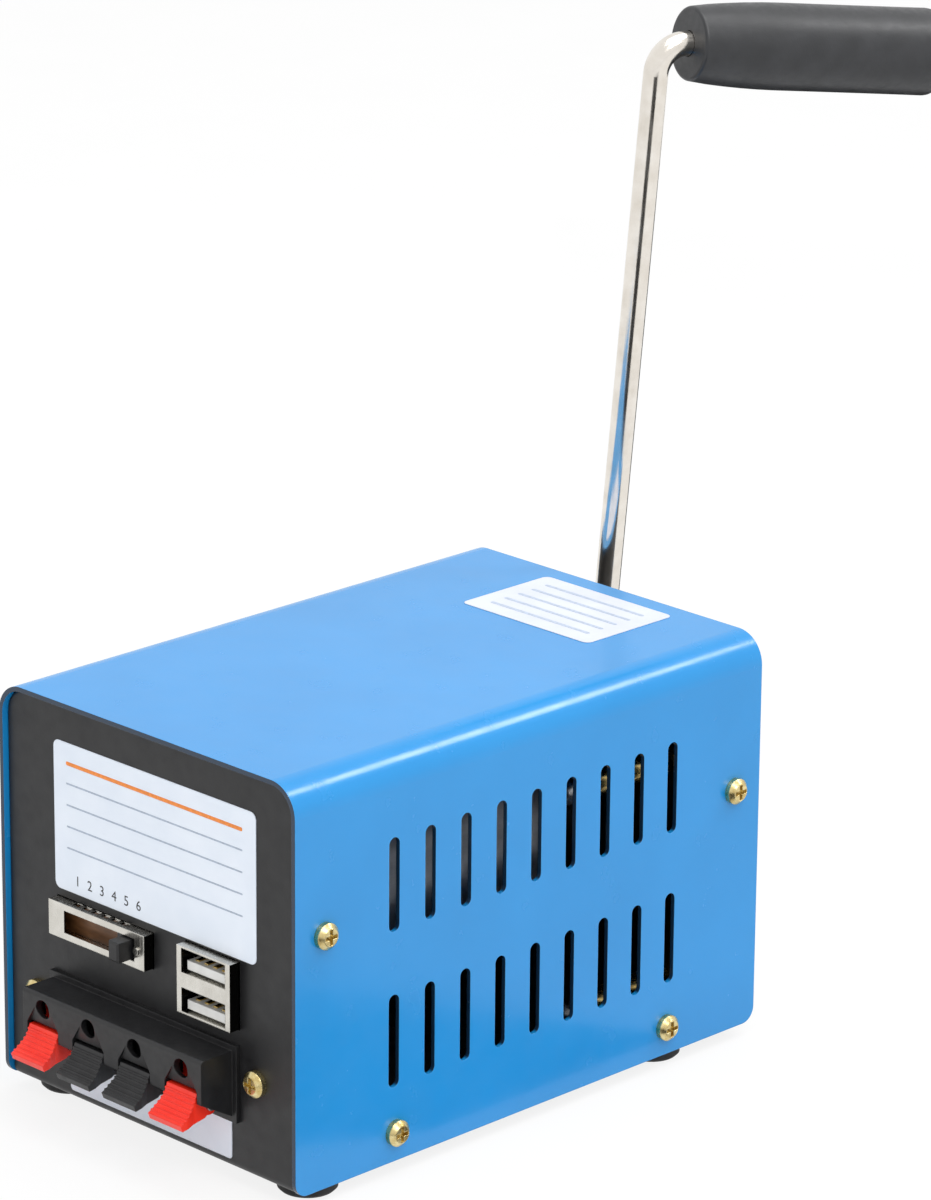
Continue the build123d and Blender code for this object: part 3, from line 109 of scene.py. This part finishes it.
class Finish:
    """A principled surface whose colour, gloss and relief come from noise in real sizes."""

    def __init__(self, name, **sockets):
        self.material = bpy.data.materials.new(name)
        self.material.use_nodes = True
        self.tree = self.material.node_tree
        self.shader = self.tree.nodes["Principled BSDF"]
        self.places = self.new("TexCoord")
        fill(self.shader, **sockets)

    def new(self, kind, **values):
        """Add a shader node and set its inputs."""
        node = self.tree.nodes.new("ShaderNode" + kind)
        fill(node, **values)
        return node

    def link(self, output, target):
        """Join an output to an input."""
        self.tree.links.new(output, target)

    def noise(self, size_mm, detail, stretch=EVEN):
        """Soft noise with features of about this size, squeezed along each axis by stretch."""
        mapping = self.new("Mapping", Scale=stretch)
        self.link(self.places.outputs["Object"], mapping.inputs["Vector"])
        texture = self.new("TexNoise", Scale=1 / (size_mm * MM), Detail=detail)
        self.link(mapping.outputs["Vector"], texture.inputs["Vector"])
        return texture.outputs["Fac"]

    def ramp(self, factor, *stops):
        """A colour ramp; each stop is (position, colour)."""
        node = self.new("ValToRGB")
        elements = node.color_ramp.elements
        for index, (position, color) in enumerate(stops):
            element = elements[index] if index < 2 else elements.new(position)
            element.position = position
            element.color = (*color, 1)
        self.link(factor, node.inputs["Fac"])
        return node.outputs["Color"]

    def mix(self, kind, factor, first, second):
        """Two colours, each plain or an output, mixed in this way."""
        node = self.new("Mix")
        node.data_type = "RGBA"
        node.blend_type = kind
        feed(self.tree, node.inputs["Factor"], factor)
        feed(self.tree, node.inputs[COLOR_A], first)
        feed(self.tree, node.inputs[COLOR_B], second)
        return node.outputs[COLOR_OUT]

    def tint(self, noise, low, high):
        """The base colour runs from low to high with the noise."""
        color = self.ramp(noise, (NOISE_LOW, low), (NOISE_HIGH, high))
        self.link(color, self.shader.inputs["Base Color"])

    def roughen(self, noise, low, high):
        """The roughness runs from low to high with the noise."""
        node = self.new(
            "MapRange", From_Min=NOISE_LOW, From_Max=NOISE_HIGH, To_Min=low, To_Max=high
        )
        self.link(noise, node.inputs["Value"])
        self.link(node.outputs["Result"], self.shader.inputs["Roughness"])

    def rounded(self, radius_mm):
        """The surface's normal, softened over its sharp edges."""
        node = self.new("Bevel", Radius=radius_mm * MM)
        node.samples = BEVEL_SAMPLES
        return node.outputs["Normal"]

    def relief(self, noise, depth_mm, strength):
        """Fine bumps of this depth, on a surface with slightly rounded edges."""
        node = self.new("Bump", Distance=depth_mm * MM, Strength=strength)
        self.link(noise, node.inputs["Height"])
        self.link(self.rounded(RELIEF_ROUND), node.inputs["Normal"])
        self.link(node.outputs["Normal"], self.shader.inputs["Normal"])

    def worn_edges(self, size_mm):
        """Near one in patches of this size along the sharp edges, zero on the flats."""
        turn = self.new("VectorMath")
        turn.operation = "DOT_PRODUCT"
        self.link(self.rounded(WEAR_ROUND), turn.inputs[0])
        self.link(self.new("NewGeometry").outputs["Normal"], turn.inputs[1])
        band = self.ramp(turn.outputs["Value"], (WEAR_FULL, WHITE), (WEAR_GONE, NONE))
        patches = self.ramp(self.noise(size_mm, 4), (PATCH_LOW, NONE), (PATCH_HIGH, WHITE))
        return self.mix("MULTIPLY", 1.0, band, patches)

    def facing(self, axis, low, high):
        """One where the surface faces along this axis of its piece, either way."""
        parts = self.new("SeparateXYZ")
        self.link(self.places.outputs["Normal"], parts.inputs[0])
        share = calculate(self.tree, "ABSOLUTE", parts.outputs[axis])
        return self.ramp(share, (low, NONE), (high, WHITE))

    def over(self, factor, color):
        """Lay a colour over the base colour where the factor is high."""
        base = self.shader.inputs["Base Color"]
        below = base.links[0].from_socket
        self.link(self.mix("MIX", factor, below, color), base)


# ---------------------------------------------------------------- materials
def gloss_paint_and_painted_shade():
    """Stoved blue enamel: faint orange peel, paler at worn edges, and painted shade in dark navy on
    the sheet's cut ends and slot walls that face along Y.
    """
    finish = Finish("blue_enamel", Roughness=0.24, Coat_Weight=0.1, Coat_Roughness=0.08)
    finish.tint(finish.noise(35, 4), (0.008, 0.228, 0.560), (0.011, 0.256, 0.620))
    finish.over(finish.worn_edges(5), (0.05, 0.36, 0.80))
    # Painted shade: surfaces facing along Y (cut ends, slot walls) are laid over in dark navy.
    finish.over(finish.facing("Y", 0.35, 0.75), (0.007, 0.027, 0.060))
    finish.roughen(finish.noise(6, 5), 0.20, 0.28)
    finish.relief(finish.noise(1.6, 2), 0.006, 0.2)
    return finish.material


def powder_coat():
    """Black powder coat: a fine, even grain, a dull sheen and greyer worn edges."""
    finish = Finish("black_powder_coat", Roughness=0.45)
    finish.tint(finish.noise(12, 5), (0.006, 0.006, 0.007), (0.010, 0.010, 0.011))
    finish.over(finish.worn_edges(3), (0.05, 0.05, 0.052))
    finish.roughen(finish.noise(3, 4), 0.38, 0.52)
    finish.relief(finish.noise(0.5, 3), 0.03, 0.5)
    return finish.material


def moulded(name, low, high, roughness, grain_mm=0.35, depth_mm=0.02):
    """Moulded plastic with a fine spark-eroded grain."""
    finish = Finish(name, Roughness=roughness)
    finish.tint(finish.noise(5, 4), low, high)
    finish.roughen(finish.noise(1.5, 4), roughness - 0.06, roughness + 0.08)
    finish.relief(finish.noise(grain_mm, 3), depth_mm, 0.5)
    return finish.material


def metal(name, low, high, roughness, stretch=EVEN, cloud_mm=3.0, scratch_mm=0.25, depth_mm=0.004):
    """Bare or plated metal: clouded tone and fine scratches, drawn out along an axis by stretch."""
    finish = Finish(name, Metallic=1.0, Roughness=roughness)
    finish.tint(finish.noise(cloud_mm, 5), low, high)
    scratches = finish.noise(scratch_mm, 4, stretch)
    finish.roughen(scratches, roughness * 0.7, roughness * 1.35)
    finish.relief(scratches, depth_mm, 0.6)
    return finish.material


def nickel_and_painted_dark_ends():
    """Nickel-plated pressing: bright faces, and a painted dark reflection and shade on the ends and
    walls that face along X.
    """
    finish = Finish("nickel_and_painted_dark_ends", Metallic=1.0, Roughness=0.24)
    finish.tint(finish.noise(4, 5), (0.60, 0.58, 0.53), (0.72, 0.70, 0.65))
    # Painted dark reflection and shade: surfaces facing along X are laid over in near-black.
    finish.over(finish.facing("X", 0.6, 0.9), (0.025, 0.024, 0.022))
    scratches = finish.noise(0.5, 4, (1, 1, 0.1))
    finish.roughen(scratches, 0.18, 0.32)
    finish.relief(scratches, 0.001, 0.6)
    return finish.material


def plated_rod():
    """Bright plated rod with fine drawing lines and small pits."""
    finish = Finish("bright_plating", Metallic=1.0, Roughness=0.12)
    finish.tint(finish.noise(4, 5), (0.72, 0.67, 0.60), (0.84, 0.80, 0.74))
    finish.roughen(finish.noise(0.8, 4, (1, 1, 0.08)), 0.10, 0.20)
    finish.relief(finish.noise(0.6, 3, (1, 1, 0.15)), 0.004, 0.5)
    return finish.material


def label_paper(name, low, high):
    """Coated label stock: nearly flat, with a slight waviness."""
    finish = Finish(name, Roughness=0.35, Coat_Weight=0.3, Coat_Roughness=0.2)
    finish.tint(finish.noise(9, 3), low, high)
    finish.relief(finish.noise(4, 2), 0.02, 0.4)
    return finish.material


def ink(name, color):
    """Screen ink that is lighter where its cover is thin."""
    finish = Finish(name, Roughness=0.45)
    finish.tint(finish.noise(0.6, 3), color, tuple(channel * 1.3 for channel in color))
    finish.relief(finish.noise(0.3, 2), 0.004, 0.5)
    return finish.material


def circuit_laminate():
    """Green solder mask with a faint weave under it."""
    finish = Finish("solder_mask", Roughness=0.3, Coat_Weight=0.3)
    finish.tint(finish.noise(2, 4), (0.012, 0.10, 0.035), (0.03, 0.17, 0.06))
    finish.relief(finish.noise(0.4, 2, (1, 4, 1)), 0.01, 0.4)
    return finish.material


def phenolic_sheet():
    """Brown pressed-paper sheet with long fibres."""
    finish = Finish("phenolic_sheet", Roughness=0.4)
    finish.tint(finish.noise(1.2, 5, (0.3, 1, 1)), (0.09, 0.036, 0.012), (0.20, 0.09, 0.034))
    finish.relief(finish.noise(0.3, 3), 0.01, 0.5)
    return finish.material


made = {
    "blue_paint": gloss_paint_and_painted_shade(),
    "black_paint": powder_coat(),
    "zinc_yellow": metal(
        "yellow_zinc", (0.55, 0.40, 0.14), (0.86, 0.74, 0.40), 0.28, cloud_mm=1.5),
    "zinc_bright": metal("bright_zinc", (0.50, 0.51, 0.53), (0.72, 0.73, 0.75), 0.32),
    "chrome": plated_rod(),
    "steel": metal("ground_steel", (0.38, 0.38, 0.40), (0.62, 0.62, 0.64), 0.30, (1, 0.1, 1)),
    "nickel": metal(
        "nickel_plate", (0.60, 0.58, 0.53), (0.72, 0.70, 0.65), 0.24, (1, 1, 0.1),
        cloud_mm=4.0, scratch_mm=0.5, depth_mm=0.001),
    "rubber": moulded(
        "foot_rubber", (0.010, 0.010, 0.010), (0.022, 0.022, 0.022), 0.7, 0.3, 0.03),
    "black_plastic": moulded(
        "black_moulding", (0.007, 0.007, 0.008), (0.013, 0.013, 0.014), 0.42),
    "red_plastic": moulded(
        "red_moulding", (0.88, 0.022, 0.008), (0.96, 0.036, 0.014), 0.34, 0.5, 0.008),
    "grip_plastic": moulded(
        "grip_moulding", (0.016, 0.017, 0.019), (0.025, 0.026, 0.029), 0.40, 0.4, 0.03),
    "phenolic": phenolic_sheet(),
    "white_plastic": moulded("white_moulding", (0.70, 0.70, 0.68), (0.82, 0.82, 0.80), 0.4),
    "green_board": circuit_laminate(),
    "bronze": metal(
        "sintered_bronze", (0.30, 0.17, 0.07), (0.50, 0.31, 0.14), 0.42, scratch_mm=0.15),
    "brass": metal("turned_brass", (0.55, 0.38, 0.12), (0.78, 0.60, 0.26), 0.24, (1, 0.2, 1)),
    "gold": metal("gold_flash", (0.75, 0.50, 0.15), (0.92, 0.70, 0.30), 0.2),
    "copper": metal("enamelled_copper", (0.38, 0.14, 0.05), (0.62, 0.28, 0.12), 0.3, (1, 6, 1)),
    "ferrite": moulded(
        "ferrite", (0.020, 0.020, 0.022), (0.045, 0.045, 0.048), 0.6, 0.4, 0.03),
    "iron": metal("core_laminations", (0.16, 0.16, 0.17), (0.30, 0.30, 0.31), 0.4, (1, 8, 1)),
    "aluminium": metal(
        "extruded_aluminium", (0.60, 0.61, 0.62), (0.78, 0.79, 0.80), 0.3, (1, 1, 0.1)),
    "capacitor_sleeve": moulded(
        "capacitor_sleeve", (0.010, 0.014, 0.05), (0.02, 0.03, 0.09), 0.25),
    "gear_plastic": moulded("acetal", (0.72, 0.70, 0.64), (0.84, 0.82, 0.76), 0.35),
}

# Pieces with a finish of their own inside their slot.
dull_steel = metal(
    "phosphated_steel", (0.030, 0.030, 0.032), (0.060, 0.060, 0.063), 0.5, depth_mm=0.01)
drawn_steel = metal("drawn_zinc", (0.42, 0.43, 0.45), (0.58, 0.59, 0.61), 0.45, (1, 0.1, 1))
# Nickel with a painted dark reflection and shade on its X-facing ends, for the switch can and the
# USB shell.
nickel_painted_dark_ends = nickel_and_painted_dark_ends()
special = {
    "gearbox_front_plate": dull_steel,
    "gearbox_rear_plate": dull_steel,
    "motor_can": drawn_steel,
    "switch_can": nickel_painted_dark_ends,
    "usb_shell": nickel_painted_dark_ends,
}
for part in frame["record"]["subparts"]:
    node = nodes[part["node"]]
    node.data.materials.clear()
    node.data.materials.append(special.get(part["node"], made[part["material_slot"]]))


# ---------------------------------------------------------------- labels
PANEL_Y, TOP_Z = -63.8, 84.2              # mm, faces of the front panel and of the cover's top
FRONT_FACE = Euler((math.pi / 2, 0, 0)).to_matrix().to_4x4()    # turns a sheet to face -Y
TOP_FACE = Matrix.Identity(4)
FILM, INK = 0.12, 0.02                    # mm, thickness of a label and of its ink
CORNER_STEPS = 6
DIGIT_SIZE, DIGIT_Z, FIRST_DIGIT_X, DIGIT_PITCH = 3.0, 46.3, -21.0, 3.6
made_ink = {
    "grey": ink("pale_rule_ink", (0.36, 0.42, 0.52)),
    "orange": ink("orange_rule_ink", (0.75, 0.22, 0.03)),
    "dark": ink("digit_ink", (0.02, 0.02, 0.022)),
}
white_film = label_paper("label_film", (0.74, 0.81, 0.91), (0.80, 0.86, 0.95))
grey_film = label_paper("top_label_film", (0.58, 0.62, 0.74), (0.64, 0.68, 0.79))


def place(piece, turn, at_mm, material):
    """Set a piece down on its face and let it ride on the case."""
    piece.data.transform(Matrix.Translation(Vector(at_mm) * MM) @ turn)
    piece.data.materials.append(material)
    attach(piece, "case")


def rounded_outline(x0, x1, y0, y1, corner):
    """Points round a rectangle with round corners."""
    centres = [(x1 - corner, y1 - corner), (x0 + corner, y1 - corner),
               (x0 + corner, y0 + corner), (x1 - corner, y0 + corner)]
    points = []
    for quadrant, (x, y) in enumerate(centres):
        for step in range(CORNER_STEPS + 1):
            angle = math.pi / 2 * (quadrant + step / CORNER_STEPS)
            points.append((x + corner * math.cos(angle), y + corner * math.sin(angle)))
    return points


def sheets(name, areas, corner, thickness, turn, at_mm, material):
    """Thin round-cornered sheets as one piece, one for each (x0, x1, y0, y1)."""
    mesh = bpy.data.meshes.new(name)
    body = bmesh.new()
    for area in areas:
        verts = [body.verts.new((x * MM, y * MM, 0)) for x, y in rounded_outline(*area, corner)]
        face = body.faces.new(verts)
        raised = bmesh.ops.extrude_face_region(body, geom=[face])["geom"]
        moved = [item for item in raised if isinstance(item, bmesh.types.BMVert)]
        bmesh.ops.translate(body, verts=moved, vec=(0, 0, thickness * MM))
    bmesh.ops.recalc_face_normals(body, faces=body.faces)
    body.to_mesh(mesh)
    body.free()
    place(add_object(name, mesh), turn, at_mm, material)


def digit(text, x):
    """One number at the foot of the front label, as a mesh."""
    curve = bpy.data.curves.new("digit_" + text, "FONT")
    curve.body = text
    curve.align_x = "CENTER"
    curve.size = DIGIT_SIZE * MM
    curve.extrude = INK * MM
    lettering = add_object("lettering", curve)
    mesh = bpy.data.meshes.new_from_object(lettering)
    bpy.data.objects.remove(lettering)
    piece = add_object("digit_" + text, mesh)
    place(piece, FRONT_FACE, (x, PANEL_Y - FILM, DIGIT_Z), made_ink["dark"])


def labels():
    """Plain labels, two on the front panel and one on the top, with ruled lines and digits."""
    front, front_ink = (0, PANEL_Y, 0), (0, PANEL_Y - FILM, 0)
    top, top_ink = (0, 0, TOP_Z), (0, 0, TOP_Z + FILM)
    sheets("front_label", [(-27.7, 30.8, 44.5, 75.7)], 1.5, FILM, FRONT_FACE, front, white_film)
    rules = [(-24.0, 27.0, z, z + 0.35) for z in (53.5, 58.0, 62.5, 67.0)]
    sheets("front_label_rules", rules, 0.15, INK, FRONT_FACE, front_ink, made_ink["grey"])
    band = [(-24.0, 27.0, 71.0, 71.8)]
    sheets("front_label_band", band, 0.3, INK, FRONT_FACE, front_ink, made_ink["orange"])
    for index, text in enumerate("123456"):
        digit(text, FIRST_DIGIT_X + DIGIT_PITCH * index)
    sheets("low_label", [(-24.0, 23.6, 2.0, 10.8)], 0.8, FILM, FRONT_FACE, front, white_film)
    sheets("top_label", [(-14.0, 22.1, 35.2, 60.4)], 1.5, FILM, TOP_FACE, top, grey_film)
    rules = [(-10.0, 18.0, y, y + 0.9) for y in (39.5, 43.5, 47.5, 51.5, 55.5)]
    sheets("top_label_rules", rules, 0.4, INK, TOP_FACE, top_ink, made_ink["grey"])


labels()


# ---------------------------------------------------------------- grip
LATHE_STEPS, ROUND_STEPS, SWELL_STEPS = 72, 5, 14
CREASE = math.radians(35)                 # edges sharper than this stay sharp
GRIP_START, GRIP_LENGTH = 6.9, 58.0       # mm along the grip's axis, from its joint
BORE, PLUG = 5.4 / 2, 9.8 / 2             # mm, radii
PLUG_SEAT, SEAM = GRIP_LENGTH - 2.6, 0.15    # mm, where the plug sits and the gap round it


def lathe(name, profile):
    """A turned piece: (along, radius) points about Z, joined in their order."""
    mesh = bpy.data.meshes.new(name)
    body = bmesh.new()
    turns = [2 * math.pi * step / LATHE_STEPS for step in range(LATHE_STEPS)]
    rings = []
    for along, radius in profile:
        rings.append([
            body.verts.new((radius * math.cos(turn) * MM, radius * math.sin(turn) * MM, along * MM))
            for turn in (turns if radius else [0])
        ])
    for low, high in zip(rings, rings[1:]):
        for step in range(LATHE_STEPS):
            after = (step + 1) % LATHE_STEPS
            corners = [low[step % len(low)], low[after % len(low)],
                       high[after % len(high)], high[step % len(high)]]
            body.faces.new(list(dict.fromkeys(corners)))
    bmesh.ops.recalc_face_normals(body, faces=body.faces)
    for face in body.faces:
        face.smooth = True
    for edge in body.edges:
        edge.smooth = edge.calc_face_angle(0) < CREASE
    body.to_mesh(mesh)
    body.free()
    return add_object(name, mesh)


def quarter(along, radius, size, start):
    """Points of a rounded edge about a centre, from this angle on, through a quarter turn down."""
    angles = [math.radians(start - 90 * step / ROUND_STEPS) for step in range(ROUND_STEPS + 1)]
    return [(along + size * math.cos(angle), radius + size * math.sin(angle)) for angle in angles]


def sleeve_profile():
    """Up the near end, over the swell and the far rim, into the plug's seat and down the bore."""
    near, full, far = 15.4 / 2, 18.0 / 2, 18.2 / 2
    full_at, near_round, far_round = 22.0, 0.7, 2.0
    swell = []
    for step in range(1, SWELL_STEPS):
        along = near_round + (GRIP_LENGTH - far_round - near_round) * step / SWELL_STEPS
        ends, span = (near, full_at) if along < full_at else (far, GRIP_LENGTH - full_at)
        swell.append((along, full - (full - ends) * ((along - full_at) / span) ** 2))
    return [
        (0, BORE), (0, near - near_round),
        *quarter(near_round, near - near_round, near_round, 180),
        *swell,
        *quarter(GRIP_LENGTH - far_round, far - far_round, far_round, 90),
        (GRIP_LENGTH, PLUG + SEAM), (PLUG_SEAT, PLUG + SEAM), (PLUG_SEAT, BORE), (0, BORE),
    ]


def plug_profile():
    """The seated face, the chamfered rim, and the dimple in the outer face."""
    chamfer, dimple, dimple_floor, dimple_depth = 0.3, 1.6, 1.2, 0.4
    return [
        (PLUG_SEAT, 0), (PLUG_SEAT, PLUG),
        (GRIP_LENGTH - chamfer, PLUG), (GRIP_LENGTH, PLUG - chamfer),
        (GRIP_LENGTH, dimple), (GRIP_LENGTH - dimple_depth, dimple_floor),
        (GRIP_LENGTH - dimple_depth, 0),
    ]


def grip():
    """The moulded sleeve, as long and thick as its solid, and the plug in its far end."""
    joint = next(joint for joint in frame["joints"] if joint["name"] == "grip_spin")
    axis = Vector(joint["axis"]).normalized()
    turn = axis.to_track_quat("Z", "Y").to_matrix().to_4x4()
    move = Matrix.Translation(Vector(joint["pos_m"]) + axis * GRIP_START * MM)
    for name, profile, node in (("grip_sleeve", sleeve_profile(), "crank_grip"),
                                ("grip_plug", plug_profile(), "grip_end_cap")):
        piece = lathe(name, profile)
        piece.data.transform(move @ turn)
        piece.data.materials.append(made["grip_plastic"])
        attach(piece, "grip")
        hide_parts(node)


grip()


# ---------------------------------------------------------------- stage, light, camera
WORLD_LIGHT, WORLD_SEEN = 0.75, 1.0       # strength on the object, and where it is looked at
TABLE_HALF = 6.0                          # m
TABLE_GLOW = 0.85                         # share of plain white where the table is looked at
FLAG_Z = -2.0                             # mm
CASE_MIDDLE, COVER_BEND = (0, 0, 40), (43, 20, 80)      # mm, where the lamps aim


def ray_mix(tree, lit, shown, share):
    """Lit for the light on the object; shown, by this share, for what is looked at.

    A camera ray looks, and so does one that is reflected or goes through something clear."""
    path = tree.nodes.new("ShaderNodeLightPath")
    looks = path.outputs["Is Camera Ray"]
    for other in ("Is Glossy Ray", "Is Transmission Ray"):
        looks = calculate(tree, "MAXIMUM", looks, path.outputs[other])
    mix = tree.nodes.new("ShaderNodeMixShader")
    tree.links.new(calculate(tree, "MULTIPLY", looks, share), mix.inputs["Fac"])
    tree.links.new(lit, mix.inputs[1])
    tree.links.new(shown, mix.inputs[2])
    return mix.outputs[0]


def world():
    """An even white surround."""
    surround = bpy.data.worlds.new("surround")
    bpy.context.scene.world = surround
    surround.use_nodes = True
    tree = surround.node_tree
    light = tree.nodes["Background"]
    fill(light, Color=(*WHITE, 1), Strength=WORLD_LIGHT)
    seen = tree.nodes.new("ShaderNodeBackground")
    fill(seen, Color=(*WHITE, 1), Strength=WORLD_SEEN)
    out = tree.nodes["World Output"]
    tree.links.new(ray_mix(tree, light.outputs[0], seen.outputs[0], 1.0), out.inputs["Surface"])


def flat(name, corners):
    """A sheet through four corners, in metres."""
    mesh = bpy.data.meshes.new(name)
    mesh.from_pydata(corners, [], [(0, 1, 2, 3)])
    return add_object(name, mesh)


def floor():
    """A white table top under the feet that keeps a soft shadow."""
    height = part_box("rubber_feet")[0][2]
    corners = [(-TABLE_HALF, -TABLE_HALF), (TABLE_HALF, -TABLE_HALF),
               (TABLE_HALF, TABLE_HALF), (-TABLE_HALF, TABLE_HALF)]
    top = flat("floor", [(x, y, height) for x, y in corners])
    finish = Finish("table_top", Roughness=0.7)
    finish.tint(finish.noise(40, 3), (0.86, 0.86, 0.86), (0.90, 0.90, 0.90))
    glow = finish.new("Emission")
    out = finish.tree.nodes["Material Output"]
    mixed = ray_mix(finish.tree, finish.shader.outputs[0], glow.outputs[0], TABLE_GLOW)
    finish.link(mixed, out.inputs["Surface"])
    top.data.materials.append(finish.material)


def dark_card(name, corners_mm):
    """A black flag near the floor that only reflections see."""
    card = flat(name, [Vector((x, y, FLAG_Z)) * MM for x, y in corners_mm])
    finish = Finish("black_flag", Roughness=1.0)
    finish.tint(finish.noise(60, 2), (0.004, 0.004, 0.004), (0.010, 0.010, 0.010))
    card.data.materials.append(finish.material)
    for kind in ("camera", "diffuse", "shadow", "transmission"):
        setattr(card, "visible_" + kind, False)


def lamp(name, place_mm, aim_mm, size_mm, watts):
    """A square soft box aimed at a point."""
    data = bpy.data.lights.new(name, "AREA")
    data.size = size_mm * MM
    data.energy = watts
    light = add_object(name, data)
    light.location = Vector(place_mm) * MM
    toward = (Vector(aim_mm) - Vector(place_mm)).normalized()
    light.rotation_euler = toward.to_track_quat("-Z", "Y").to_euler()


def camera():
    """The photograph's viewpoint, fitted to corners of the case measured in it."""
    azimuth, elevation, roll = 45.07, 18.41, 0.47
    place_mm = (768.12, -743.80, 452.24)
    data = bpy.data.cameras.new("camera")
    data.lens = 169.48
    data.sensor_width = 36.0
    view = add_object("camera", data)
    view.location = Vector(place_mm) * MM
    tilt = Euler((math.radians(90 - elevation), 0, math.radians(azimuth)))
    turn = Euler((0, 0, math.radians(roll)))
    view.rotation_euler = (tilt.to_matrix() @ turn.to_matrix()).to_euler()
    bpy.context.scene.camera = view


world()
floor()
dark_card("flag_toward_view", [(52, 50), (52, -20), (290, -485), (560, -215)])
dark_card("flag_behind", [(-10, 110), (-40, 100), (-460, 520), (-60, 720)])
lamp("key", (900, -300, 1150), CASE_MIDDLE, size_mm=600, watts=6)
lamp("top", (100, 100, 1200), CASE_MIDDLE, size_mm=900, watts=7)
lamp("bend_light", (380, 760, 880), COVER_BEND, size_mm=240, watts=2.4)
camera()
bpy.context.scene.view_settings.view_transform = "Standard"
